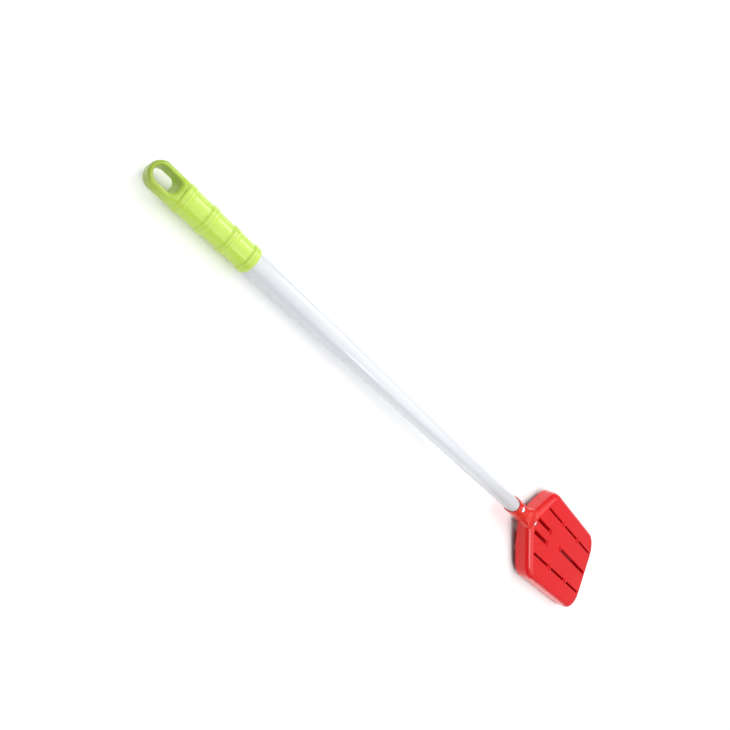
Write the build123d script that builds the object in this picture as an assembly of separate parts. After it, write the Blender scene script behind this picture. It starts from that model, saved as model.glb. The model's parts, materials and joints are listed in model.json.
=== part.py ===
"""Fly swatter: a slotted moulded head riveted to a thin tube, with a sleeve grip and a hanging eye.

Millimetres. Pieces are drawn in two frames and then laid down together. The shaft frame has X along the
tube towards the head, 0 at the grip's mouth, and Z out of the front. The head frame starts where the two
shoulders would meet on the shaft's axis, and leans back from the shaft by HEAD_SETBACK.
"""
import os
from math import atan2, degrees

from build123d import *

# ---- shaft ----
TUBE_OD = 15.0
TUBE_WALL = 0.8
SHAFT_LENGTH = 392.7          # grip's mouth to the point where the shoulders would meet
TUBE_IN_GRIP = 45.0
TUBE_PAST_APEX = 3.0

# ---- head ----
HEAD_SETBACK = 3.1            # degrees that the head leans back from the shaft
HEAD_WIDTH = 99.2
HEAD_LENGTH = 211.0           # shoulder point to far edge
SHOULDER_LENGTH = 47.6        # shoulder point to the start of the straight sides
HEAD_DEPTH = 17.4
FACE_ABOVE_AXIS = 5.3
HEAD_WALL = 2.2
FACE_THICKNESS = 2.4
EDGE_ROUND = 6.0
APEX_ROUND = 9.0
SHOULDER_ROUND = 15.0
FAR_ROUND = 19.0
SKIRT_RISE = 26.0             # how far along the head the skirt sweeps down from the collar

# ---- socket ----
SOCKET_CLEARANCE = 0.1
COLLAR_WALL = 0.9
COLLAR_LENGTH = 38.5          # mouth to shoulder point
COLLAR_SCOOP = 3.5            # how much further back the mouth is cut at the front
HUB_BEYOND_COLLAR = 1.3       # how far the hub's side stands outside the collar's
HUB_HEIGHT = 2.0              # above the head's face
HUB_ROUND = 1.6
COLLAR_DOME_BACK = 2.6        # the collar's domed end is centred this far behind the bore's floor

# ---- slots ----
SLOT_ROW_START = 35.5
SLOT_ROW_MARGIN = 11.5        # from the rows' ends to the far edge
SLOT_ROW_OFFSET = 25.5
SLOTS_IN_ROW = 3
SLOT_GAP = 10.0
NARROW_SLOT = 2.6
WIDE_SLOT = 4.0
SHORT_SLOT_START = 19.5
SHORT_SLOT_LENGTH = 37.0
SHORT_SLOT_OFFSET = 6.75
LONG_SLOT_START = 104.5
LONG_SLOT_MARGIN = 10.5       # from the long slot's end to the far edge
DUCT_DEPTH = 12.0             # below the head's face
DUCT_WALL = 1.2
LIP_LENGTH = 7.0
LIP_WIDTH = 1.8
LIP_HEIGHT = 1.0
LIP_AFTER_SLOT = 4.2

# ---- rivets and plugs ----
RIVET_SHANK = 3.0
RIVET_HEAD = 5.2
RIVET_DOME = 1.5
RIVET_TAIL = 1.1
RIVET_CLEARANCE = 0.05
COLLAR_RIVET_BACK = 27.0      # from the shoulder point towards the grip
FACE_RIVET_FROM_HUB = 0.4     # between the rivet's head and the hub's side
PLUG_CLEARANCE = 0.1
SOCKET_PLUG_LENGTH = 36.0
TONGUE_WIDTH = 9.0
TONGUE_THICKNESS = 3.6
TONGUE_CLEARANCE = 0.1
GRIP_PLUG_LENGTH = 10.0
GRIP_PLUG_FLANGE = 1.2

# ---- grip ----
GRIP_WALL = 0.65
GRIP_CLEARANCE = 0.05
GRIP_HOLLOW = 0.12            # how far the barrel dips between rings
RING_PROUD = 0.55             # above the barrel
RING_COUNT = 3
RING_FIRST = -17.7            # the ring next to the mouth
RING_LAST_FROM_END = 0.38     # the last ring's centre from the barrel's end
BEAD_SPACING = 2.0
BEAD_RADIUS = 1.1
LIP_PROUD = 0.65
LIP_CENTRE = -2.8
GRIP_END_WALL = 1.4
PANEL_LENGTH = 9.2
PANEL_WIDTH = 8.6
PANEL_DEPTH = 0.25
PANEL_CORNER = 0.8
EYE_LENGTH = 20.7             # beyond the barrel's end
EYE_THICKNESS = 9.0
EYE_NECK = 8.0                # length over which the round barrel thins to the eye
EYE_STRAND = 2.4              # between the hole and the eye's end
HOLE_LENGTH_BACK = 10.5
HOLE_LENGTH_FRONT = 14.0
HOLE_WIDTH = 9.4
HOLE_BODY_ROUND = 3.0

# ---- worked out ----
ALONG_X = Rotation(0, 90, 0)
TUBE_R = TUBE_OD / 2
TUBE_BORE_R = TUBE_R - TUBE_WALL
SOCKET_R = TUBE_R + SOCKET_CLEARANCE
COLLAR_R = SOCKET_R + COLLAR_WALL
HUB_RADIUS = COLLAR_R + HUB_BEYOND_COLLAR
FACE_RIVET_AHEAD = HUB_RADIUS + FACE_RIVET_FROM_HUB + RIVET_HEAD / 2   # from the shoulder point
GRIP_R = TUBE_R + GRIP_CLEARANCE + GRIP_WALL
RING_R = GRIP_R + RING_PROUD
LIP_R = GRIP_R + LIP_PROUD
TUBE_END = SHAFT_LENGTH + TUBE_PAST_APEX
SLOT_ROW_END = HEAD_LENGTH - SLOT_ROW_MARGIN
LONG_SLOT_LENGTH = HEAD_LENGTH - LONG_SLOT_MARGIN - LONG_SLOT_START
SOCKET_END = TUBE_END + SOCKET_CLEARANCE
RIM_Z = FACE_ABOVE_AXIS - HEAD_DEPTH
UNDERSIDE_Z = FACE_ABOVE_AXIS - FACE_THICKNESS
HEAD_FRAME = Location((SHAFT_LENGTH, 0, 0)) * Rotation(0, HEAD_SETBACK, 0)
GRIP_CAVITY_END = -TUBE_IN_GRIP - GRIP_PLUG_FLANGE
BARREL_END = GRIP_CAVITY_END - GRIP_END_WALL
EYE_END = BARREL_END - EYE_LENGTH
HOLE_START = EYE_END + EYE_STRAND
RING_PITCH = (RING_FIRST - BARREL_END - RING_LAST_FROM_END) / (RING_COUNT - 1)
RINGS = [RING_FIRST - RING_PITCH * i for i in range(RING_COUNT)]


def rod(radius, start, end):
    """A round bar along X from start to end."""
    return Location(((start + end) / 2, 0, 0)) * ALONG_X * Cylinder(radius, end - start)


def block(x0, x1, width, z0, z1):
    """A box that is centred across Y."""
    return Location(((x0 + x1) / 2, 0, (z0 + z1) / 2)) * Box(x1 - x0, width, z1 - z0)


def bead(x, outer_radius):
    """A round bead about X whose crest is at outer_radius."""
    return Location((x, 0, 0)) * ALONG_X * Torus(outer_radius - BEAD_RADIUS, BEAD_RADIUS)


# ---------------------------------------------------------------- head
def head_outline(inset=0.0):
    """The five-sided plan of the head in the head frame, with its corners rounded."""
    half = HEAD_WIDTH / 2
    points = [(0, 0), (SHOULDER_LENGTH, -half), (HEAD_LENGTH, -half), (HEAD_LENGTH, half), (SHOULDER_LENGTH, half)]
    plan = make_face(Polyline(*points, close=True))
    by_x = plan.vertices().sort_by(Axis.X)
    plan = fillet(by_x[0:1], APEX_ROUND)
    plan = fillet(plan.vertices().group_by(Axis.X)[-1], FAR_ROUND)
    shoulders = [v for v in plan.vertices() if abs(v.X - SHOULDER_LENGTH) < 0.01 and abs(abs(v.Y) - half) < 0.01]
    plan = fillet(shoulders, SHOULDER_ROUND)
    return offset(plan, -inset, kind=Kind.INTERSECTION) if inset else plan


def rounded_block(inset, top_z, edge_round):
    """The head's plan drawn up from the rim to top_z, with its top edge rounded."""
    solid = Location((0, 0, RIM_Z)) * extrude(head_outline(inset), top_z - RIM_Z)
    return fillet(solid.edges().group_by(Axis.Z)[-1], edge_round)


def skirt_sweep():
    """What is cut from under the neck so that the skirt sweeps up into the collar."""
    reach = 2 * COLLAR_R
    points = [(-reach, RIM_Z - 1), (SKIRT_RISE, RIM_Z - 1), (SKIRT_RISE, RIM_Z), (0, -COLLAR_R), (-reach, -COLLAR_R)]
    side = Plane.XZ * make_face(Polyline(*points, close=True))
    return extrude(side, HEAD_WIDTH, both=True)


def slot_list():
    """Each slot as (start, length, offset across, width)."""
    slots = []
    length = (SLOT_ROW_END - SLOT_ROW_START - (SLOTS_IN_ROW - 1) * SLOT_GAP) / SLOTS_IN_ROW
    for side in (-1, 1):
        for i in range(SLOTS_IN_ROW):
            slots.append((SLOT_ROW_START + i * (length + SLOT_GAP), length, side * SLOT_ROW_OFFSET, NARROW_SLOT))
        slots.append((SHORT_SLOT_START, SHORT_SLOT_LENGTH, side * SHORT_SLOT_OFFSET, WIDE_SLOT))
    slots.append((LONG_SLOT_START, LONG_SLOT_LENGTH, 0, WIDE_SLOT))
    return slots


def lip_list():
    """Centres of the raised cross ribs: after every slot that another feature follows, and before the long one."""
    lips = []
    for start, length, across, width in slot_list():
        end = start + length
        if end < SLOT_ROW_END - 1 and start != LONG_SLOT_START:
            lips.append((end + LIP_AFTER_SLOT, across))
    lips.append((LONG_SLOT_START - LIP_AFTER_SLOT, 0))
    return lips


def head():
    """One moulding: face, skirt, slot ducts, cross ribs, hub and socket collar."""
    cavity = rounded_block(HEAD_WALL, UNDERSIDE_Z, EDGE_ROUND - HEAD_WALL)
    shell = rounded_block(0, FACE_ABOVE_AXIS, EDGE_ROUND) - cavity
    ducts = []
    slots = []
    for start, length, across, width in slot_list():
        place = Location((start + length / 2, across, 0))
        low = FACE_ABOVE_AXIS - DUCT_DEPTH
        duct = Box(length + 2 * DUCT_WALL, width + 2 * DUCT_WALL, UNDERSIDE_Z - low + FACE_THICKNESS / 2)
        ducts.append(place * Location((0, 0, (low + UNDERSIDE_Z + FACE_THICKNESS / 2) / 2)) * duct)
        slots.append(place * Box(length, width, 4 * HEAD_DEPTH))
    lips = []
    for ahead, across in lip_list():
        rib = Box(LIP_WIDTH, LIP_LENGTH, 2 * LIP_HEIGHT)
        rib = fillet(rib.edges().filter_by(Axis.Y).group_by(Axis.Z)[-1], LIP_WIDTH / 3)
        lips.append(Location((ahead, across, FACE_ABOVE_AXIS)) * rib)
    hub = Cylinder(HUB_RADIUS, 2 * (FACE_ABOVE_AXIS + HUB_HEIGHT))
    hub = fillet(hub.edges().group_by(Axis.Z)[-1], HUB_ROUND)
    hub -= Location((0, 0, RIM_Z)) * Box(4 * HUB_RADIUS, 4 * HUB_RADIUS, 2 * (UNDERSIDE_Z - RIM_Z))
    moulding = HEAD_FRAME * (shell + ducts + lips + hub - slots)

    mouth = SHAFT_LENGTH - COLLAR_LENGTH
    dome = Location((SOCKET_END - COLLAR_DOME_BACK, 0, 0)) * Sphere(COLLAR_R)
    collar = rod(COLLAR_R, mouth, SOCKET_END - COLLAR_DOME_BACK) + dome
    bore = rod(SOCKET_R, mouth - 1, SOCKET_END)
    scoop_radius = (COLLAR_R**2 + COLLAR_SCOOP**2) / (2 * COLLAR_SCOOP)
    scoop = Location((mouth + COLLAR_SCOOP - scoop_radius, 0, COLLAR_R)) * Rotation(90, 0, 0)
    scoop *= Cylinder(scoop_radius, 4 * COLLAR_R)
    moulding = moulding + collar - HEAD_FRAME * skirt_sweep() + collar - bore
    for hole in (collar_rivet_hole(), face_rivet_hole(), HEAD_FRAME * tongue(TONGUE_CLEARANCE)):
        moulding -= hole
    return moulding


# ---------------------------------------------------------------- rivets and plugs
def rivet(low, high):
    """A domed rivet along Z that grips from low to high, with an upset tail below."""
    dome_radius = (RIVET_DOME**2 + (RIVET_HEAD / 2)**2) / (2 * RIVET_DOME)
    shank = Location((0, 0, (low + high) / 2)) * Cylinder(RIVET_SHANK / 2, high - low)
    dome = Location((0, 0, high + RIVET_DOME - dome_radius)) * Sphere(dome_radius)
    dome &= Location((0, 0, high + dome_radius)) * Cylinder(RIVET_HEAD, 2 * dome_radius)
    tail = Location((0, 0, low - RIVET_TAIL / 2)) * Cylinder(RIVET_HEAD / 2, RIVET_TAIL)
    tail = fillet(tail.edges().group_by(Axis.Z)[0], RIVET_TAIL / 2)
    return shank + dome + tail


def collar_rivet_hole():
    """The cross hole through the collar, tube and plug, in the shaft frame."""
    place = Location((SHAFT_LENGTH - COLLAR_RIVET_BACK, 0, 0))
    return place * Cylinder(RIVET_SHANK / 2 + RIVET_CLEARANCE, 4 * COLLAR_R)


def face_rivet_hole():
    """The hole through the head's face and the plug's tongue, in the shaft frame."""
    return HEAD_FRAME * Location((FACE_RIVET_AHEAD, 0, 0)) * Cylinder(RIVET_SHANK / 2 + RIVET_CLEARANCE, HEAD_DEPTH)


def head_rivets():
    """Both rivets, each its own solid, in the shaft frame."""
    collar_rivet = Location((SHAFT_LENGTH - COLLAR_RIVET_BACK, 0, 0)) * rivet(-COLLAR_R, COLLAR_R)
    tongue_low = UNDERSIDE_Z - TONGUE_CLEARANCE - TONGUE_THICKNESS
    face_rivet = HEAD_FRAME * Location((FACE_RIVET_AHEAD, 0, 0)) * rivet(tongue_low, FACE_ABOVE_AXIS)
    return [collar_rivet, face_rivet]


def tongue(clearance=0.0):
    """The flat end of the socket plug, under the head's face, in the head frame."""
    top = UNDERSIDE_Z - TONGUE_CLEARANCE + clearance
    low = UNDERSIDE_Z - TONGUE_CLEARANCE - TONGUE_THICKNESS - clearance
    end = FACE_RIVET_AHEAD + RIVET_HEAD + clearance
    return block(0, end, TONGUE_WIDTH + 2 * clearance, low, top)


def socket_plug():
    """The plug in the tube's head end, with the tongue that the second rivet holds."""
    core = rod(TUBE_BORE_R - PLUG_CLEARANCE, TUBE_END - SOCKET_PLUG_LENGTH, TUBE_END)
    return core + HEAD_FRAME * tongue() - collar_rivet_hole() - face_rivet_hole()


def grip_plug():
    """The flanged plug that closes the tube inside the grip."""
    core = rod(TUBE_BORE_R - PLUG_CLEARANCE, -TUBE_IN_GRIP, -TUBE_IN_GRIP + GRIP_PLUG_LENGTH)
    return core + rod(TUBE_R, -TUBE_IN_GRIP - GRIP_PLUG_FLANGE, -TUBE_IN_GRIP)


def shaft_tube():
    """The thin tube, drilled for the collar's rivet."""
    tube = rod(TUBE_R, -TUBE_IN_GRIP, TUBE_END) - rod(TUBE_BORE_R, -TUBE_IN_GRIP - 1, TUBE_END + 1)
    return tube - collar_rivet_hole()


# ---------------------------------------------------------------- grip
def barrel():
    """The round sleeve: slightly hollow between its rings, with double beads and an end lip."""
    stops = [LIP_CENTRE] + RINGS
    line = [Line((0, 0), (0, GRIP_R)), Line((0, GRIP_R), (LIP_CENTRE, GRIP_R))]
    for ahead, behind in zip(stops, stops[1:]):
        middle = ((ahead + behind) / 2, GRIP_R - GRIP_HOLLOW)
        line.append(ThreePointArc((ahead, GRIP_R), middle, (behind, GRIP_R)))
    line.append(Line((RINGS[-1], GRIP_R), (BARREL_END, GRIP_R)))
    line.append(Line((BARREL_END, GRIP_R), (BARREL_END, 0)))
    line.append(Line((BARREL_END, 0), (0, 0)))
    profile = Plane.XZ * make_face(Wire(Curve() + line))
    solid = revolve(profile, Axis.X, 360)
    for centre in RINGS:
        solid += [bead(centre + side * BEAD_SPACING / 2, RING_R) for side in (-1, 1)]
    solid += [bead(LIP_CENTRE + side * BEAD_SPACING / 2, LIP_R) for side in (-1, 1)]
    return solid


def panels():
    """Shallow panels sunk into the front and back of the barrel, one between each two rings."""
    stops = [LIP_CENTRE] + RINGS
    skin = rod(GRIP_R + BEAD_RADIUS, BARREL_END, 0) - rod(GRIP_R - GRIP_HOLLOW - PANEL_DEPTH, BARREL_END - 1, 1)
    windows = []
    for ahead, behind in zip(stops, stops[1:]):
        window = Box(PANEL_LENGTH, PANEL_WIDTH, 4 * GRIP_R)
        window = fillet(window.edges().filter_by(Axis.Z), PANEL_CORNER)
        windows.append(Location(((ahead + behind) / 2, 0, 0)) * window)
    return [skin & window for window in windows]


def eye():
    """The hanging eye: the barrel thinned to a flat, rounded at the end and pierced."""
    start = BARREL_END + 0.5
    round_bar = rod(GRIP_R, EYE_END, start)
    centre = EYE_END + GRIP_R
    plan = Location((centre, 0, 0)) * Cylinder(GRIP_R, 4 * GRIP_R) + block(centre, start, 2 * GRIP_R, -GRIP_R, GRIP_R)
    neck = BARREL_END - EYE_NECK
    half = EYE_THICKNESS / 2
    upper = Spline((neck, half), (BARREL_END, GRIP_R), tangents=[(1, 0), (1, 0)])
    lower = Spline((BARREL_END, -GRIP_R), (neck, -half), tangents=[(-1, 0), (-1, 0)])
    line = [upper, Line((BARREL_END, GRIP_R), (start, GRIP_R)), Line((start, GRIP_R), (start, -GRIP_R)),
            Line((start, -GRIP_R), (BARREL_END, -GRIP_R)), lower, Line((neck, -half), (EYE_END - 1, -half)),
            Line((EYE_END - 1, -half), (EYE_END - 1, half)), Line((EYE_END - 1, half), (neck, half))]
    side = extrude(Plane.XZ * make_face(Wire(Curve() + line)), 2 * GRIP_R, both=True)
    return round_bar & plan & side


def eye_hole():
    """The hole through the eye, longer at the front because its inner end slopes."""
    reach = GRIP_R + 1
    sections = []
    for z, length in ((-reach, HOLE_LENGTH_BACK - 1), (reach, HOLE_LENGTH_FRONT + 1)):
        plan = make_face(Polyline((0, -HOLE_WIDTH / 2), (length, -HOLE_WIDTH / 2), (length, HOLE_WIDTH / 2),
                                  (0, HOLE_WIDTH / 2), close=True))
        plan = fillet(plan.vertices().group_by(Axis.X)[0], HOLE_WIDTH / 2 - 0.1)
        plan = fillet(plan.vertices().group_by(Axis.X)[-1], HOLE_BODY_ROUND)
        sections.append(Location((HOLE_START, 0, z)) * plan)
    return loft(sections)


def grip():
    """One moulding: ringed barrel and hanging eye."""
    cavity = rod(TUBE_R + GRIP_CLEARANCE, GRIP_CAVITY_END, 1)
    return barrel() + eye() - cavity - panels() - eye_hole()


# ---------------------------------------------------------------- laid down
def laid_down():
    """From the shaft frame to the row frame: resting on the far rim and the last ring, centred."""
    rim = HEAD_FRAME * Location((HEAD_LENGTH, 0, RIM_Z))
    rise = rim.position.Z + RING_R
    run = rim.position.X - RINGS[-1]
    return Rotation(0, degrees(atan2(rise, run)), 0)


PIECES = {
    "head": head(),
    "shaft_tube": shaft_tube(),
    "socket_plug": socket_plug(),
    "head_rivets": Compound(children=[Part() + r for r in head_rivets()]),
    "grip": grip(),
    "grip_plug": grip_plug(),
}

tilted = {name: laid_down() * piece for name, piece in PIECES.items()}
box = Compound(children=[Compound([s]) for p in tilted.values() for s in p.solids()]).bounding_box()
to_origin = Location((-(box.min.X + box.max.X) / 2, 0, -box.min.Z))
os.makedirs("parts", exist_ok=True)
for name, piece in tilted.items():
    solids = [to_origin * s for s in piece.solids()]
    export_step(solids[0] if len(solids) == 1 else Compound(solids), f"parts/{name}.step")
print("size", [round(v, 2) for v in box.size], "shift", to_origin.position, "tilt", laid_down().orientation)
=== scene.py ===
"""Looks of a slotted fly swatter: moulded head, enamelled tube and ringed sleeve grip, around its CAD part.

Sizes are millimetres in two drawing frames, and a mesh is scaled to metres as it is laid in the row frame.
The shaft frame has X along the tube towards the head, 0 at the grip's mouth, and Z out of the front. The
head frame starts where the two shoulders would meet on the shaft's axis, and leans back from the shaft.
"""
import json
import logging
import math
from collections.abc import Callable, Sequence
from dataclasses import dataclass, field
from enum import Enum
from typing import Any

import bpy
import numpy as np
from mathutils import Matrix, Vector

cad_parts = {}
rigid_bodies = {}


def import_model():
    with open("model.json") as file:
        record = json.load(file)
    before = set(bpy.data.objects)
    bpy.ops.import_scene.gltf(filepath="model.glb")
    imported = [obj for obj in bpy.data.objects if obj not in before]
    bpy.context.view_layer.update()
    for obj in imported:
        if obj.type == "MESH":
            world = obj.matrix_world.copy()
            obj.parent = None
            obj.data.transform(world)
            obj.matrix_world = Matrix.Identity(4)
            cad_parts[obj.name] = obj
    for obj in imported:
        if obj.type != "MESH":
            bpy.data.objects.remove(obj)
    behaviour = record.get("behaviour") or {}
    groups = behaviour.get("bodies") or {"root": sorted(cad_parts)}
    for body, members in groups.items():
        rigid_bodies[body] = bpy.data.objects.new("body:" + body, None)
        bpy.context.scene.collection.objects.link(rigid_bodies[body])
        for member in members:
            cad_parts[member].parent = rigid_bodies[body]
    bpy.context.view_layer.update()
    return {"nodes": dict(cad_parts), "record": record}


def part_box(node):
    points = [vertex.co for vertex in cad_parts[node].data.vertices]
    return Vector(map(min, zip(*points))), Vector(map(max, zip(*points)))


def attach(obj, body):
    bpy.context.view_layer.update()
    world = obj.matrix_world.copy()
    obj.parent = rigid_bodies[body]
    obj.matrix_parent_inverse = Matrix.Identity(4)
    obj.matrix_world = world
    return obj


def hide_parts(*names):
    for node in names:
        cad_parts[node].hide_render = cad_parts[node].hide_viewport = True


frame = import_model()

MM = 0.001
BODY = "root"
FLAT_TILE = 9.0               # flats are merged tile by tile, which keeps the merging quick
FLAT_ANGLE = math.radians(0.35)
FLAT_CELLS = 3                # a merged flat covers more than this many cells
STRAY_NORMAL = math.radians(50)  # past this, a face's own normal replaces the field's
SLOPE_STEP = 0.05             # of a cell, for a field's gradient
NET_PASSES = 2                # times that a net's vertices are drawn onto the surface
Array = np.ndarray
Field = Callable[[Array], Array]
Colour = tuple[float, float, float, float]
log = logging.getLogger("swatter")


class Slot(Enum):
    """The record's material slots."""

    HEAD = "head_plastic"
    TUBE = "tube_paint"
    PLUG = "plug_plastic"
    RIVET = "rivet_metal"
    GRIP = "grip_plastic"


# ---------------------------------------------------------------- node graphs
class Graph:
    """A node tree that is filled in through one method."""

    def __init__(self, tree: bpy.types.NodeTree) -> None:
        """Takes the tree to fill."""
        self.tree = tree

    def add(self, kind: str, settings: dict[str, Any] | None = None,
            values: dict[Any, Any] | None = None) -> bpy.types.Node:
        """Adds one node.

        Args:
            kind: The node's type.
            settings: Properties, set first; "stops" holds a ramp's (place, colour) pairs.
            values: A number, a link or a Num for each input, by name or by place.

        Returns:
            The node.
        """
        node = self.tree.nodes.new(kind)
        for key, value in (settings or {}).items():
            if key == "stops":
                ramp = node.color_ramp.elements
                while len(ramp) < len(value):
                    ramp.new(0.5)
                for stop, (place, colour) in zip(ramp, value):
                    stop.position, stop.color = place, colour
            else:
                setattr(node, key, value)
        for key, value in (values or {}).items():
            self.feed(value, node.inputs[key])
        return node

    def feed(self, value: Any, socket: bpy.types.NodeSocket) -> None:
        """Links or sets one input.

        Args:
            value: A Num, node or socket to link, or a plain value to set.
            socket: The input.
        """
        if isinstance(value, Num):
            value = value.socket
        if isinstance(value, bpy.types.Node):
            value = value.outputs[0]
        if isinstance(value, bpy.types.NodeSocket):
            self.tree.links.new(value, socket)
        else:
            socket.default_value = value

    def maths(self, operation: str, *terms: Any) -> "Num":
        """Adds a Math node on its terms."""
        node = self.add("ShaderNodeMath", {"operation": operation}, dict(enumerate(terms)))
        return Num(self, node.outputs[0])

    def vector_maths(self, operation: str, *terms: Any) -> bpy.types.NodeSocket:
        """Adds a Vector Math node on its terms."""
        return self.add("ShaderNodeVectorMath", {"operation": operation}, dict(enumerate(terms))).outputs[0]

    def parts(self, vector: Any) -> tuple["Num", "Num", "Num"]:
        """Splits a vector into its three numbers."""
        node = self.add("ShaderNodeSeparateXYZ", None, {0: vector})
        return Num(self, node.outputs[0]), Num(self, node.outputs[1]), Num(self, node.outputs[2])

    def joined(self, x: Any, y: Any, z: Any) -> bpy.types.NodeSocket:
        """Joins three numbers into a vector."""
        return self.add("ShaderNodeCombineXYZ", None, {0: x, 1: y, 2: z}).outputs[0]


class Num:
    """A number socket whose operators add Math nodes."""

    def __init__(self, graph: Graph, socket: bpy.types.NodeSocket) -> None:
        """Wraps a socket of the graph."""
        self.graph, self.socket = graph, socket

    def __add__(self, other: Any) -> "Num":
        """self + other."""
        return self.graph.maths("ADD", self, other)

    __radd__ = __add__

    def __sub__(self, other: Any) -> "Num":
        """self - other."""
        return self.graph.maths("SUBTRACT", self, other)

    def __rsub__(self, other: Any) -> "Num":
        """other - self."""
        return self.graph.maths("SUBTRACT", other, self)

    def __mul__(self, other: Any) -> "Num":
        """self * other."""
        return self.graph.maths("MULTIPLY", self, other)

    __rmul__ = __mul__

    def __truediv__(self, other: Any) -> "Num":
        """self / other."""
        return self.graph.maths("DIVIDE", self, other)

    def __rtruediv__(self, other: Any) -> "Num":
        """other / self."""
        return self.graph.maths("DIVIDE", other, self)

    def __pow__(self, other: Any) -> "Num":
        """self ** other."""
        return self.graph.maths("POWER", self, other)

    def __abs__(self) -> "Num":
        """The size of self without its sign."""
        return self.graph.maths("ABSOLUTE", self)

    def rising(self, low: float, high: float) -> "Num":
        """0 below low and 1 above high, smooth between, or falling where high is the lower.

        Args:
            low: Where the result is 0.
            high: Where it is 1.

        Returns:
            The result between 0 and 1.
        """
        first, last = min(low, high), max(low, high)
        ends = {3: 0.0, 4: 1.0} if low < high else {3: 1.0, 4: 0.0}
        values = {0: self, 1: first, 2: last, **ends}
        node = self.graph.add("ShaderNodeMapRange", {"interpolation_type": "SMOOTHSTEP"}, values)
        return Num(self.graph, node.outputs[0])


# ---------------------------------------------------------------- finishes
@dataclass(frozen=True)
class Finish:
    """A procedural finish. Its pattern is placed in the drawing frame that place gives."""

    name: str
    colour: Colour
    place: Matrix = field(default_factory=Matrix, compare=False)

    def build(self) -> bpy.types.Material:
        """Makes the material and its nodes.

        Returns:
            The material.
        """
        material = bpy.data.materials.new(self.name)
        material.use_nodes = True
        material.node_tree.nodes.clear()
        material.diffuse_color = self.colour
        graph = Graph(material.node_tree)
        shader = graph.add("ShaderNodeBsdfPrincipled")
        self.dress(graph, shader, self.local(graph))
        graph.add("ShaderNodeOutputMaterial", None, {0: shader.outputs[0]})
        return material

    def local(self, graph: Graph) -> bpy.types.NodeSocket:
        """Object coordinates turned back into the drawing frame, in metres.

        Args:
            graph: The material's graph.

        Returns:
            The place of each point.
        """
        turn = self.place.to_euler()
        values = {"Vector": graph.add("ShaderNodeTexCoord").outputs["Object"],
                  "Location": self.place.translation, "Rotation": turn}
        return graph.add("ShaderNodeMapping", {"vector_type": "TEXTURE"}, values).outputs[0]

    def dress(self, graph: Graph, shader: bpy.types.Node, local: bpy.types.NodeSocket) -> None:
        """Feeds the shader; each finish has its own."""
        raise NotImplementedError

    @staticmethod
    def noise(graph: Graph, vector: Any, scale: float, detail: float = 2.0, distortion: float = 0.0) -> Num:
        """A noise between 0 and 1, at scale features a metre."""
        values = {"Vector": vector, "Scale": scale, "Detail": detail, "Distortion": distortion}
        return Num(graph, graph.add("ShaderNodeTexNoise", None, values).outputs[0])

    @staticmethod
    def stretched(graph: Graph, vector: Any, by: Sequence[float]) -> bpy.types.NodeSocket:
        """The vector scaled on each axis."""
        return graph.vector_maths("MULTIPLY", vector, tuple(by))

    @staticmethod
    def blend(graph: Graph, share: Any, first: Any, second: Any) -> bpy.types.NodeSocket:
        """Mixes two colours."""
        return graph.add("ShaderNodeMix", {"data_type": "RGBA"}, {0: share, 6: first, 7: second}).outputs[2]

    @staticmethod
    def bump(graph: Graph, height: Any, strength: float, depth: float) -> bpy.types.NodeSocket:
        """A bump whose full height is depth metres."""
        values = {"Strength": strength, "Distance": depth, "Height": height}
        return graph.add("ShaderNodeBump", None, values).outputs[0]

    def scuffs(self, graph: Graph, local: Any, scale: float, width: float) -> Num:
        """Thin wandering hairlines, 1 on a line and 0 off it.

        Args:
            graph: The material's graph.
            local: Place in the drawing frame.
            scale: Features a metre.
            width: Half a line's width, as noise.

        Returns:
            The lines.
        """
        field_ = self.noise(graph, self.stretched(graph, local, (1.0, 2.6, 1.0)), scale, 5.0, 1.4)
        patch = self.noise(graph, local, scale * 0.31, 2.0).rising(0.5, 0.66)
        return abs(field_ - 0.5).rising(width, 0.0) * patch


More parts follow.
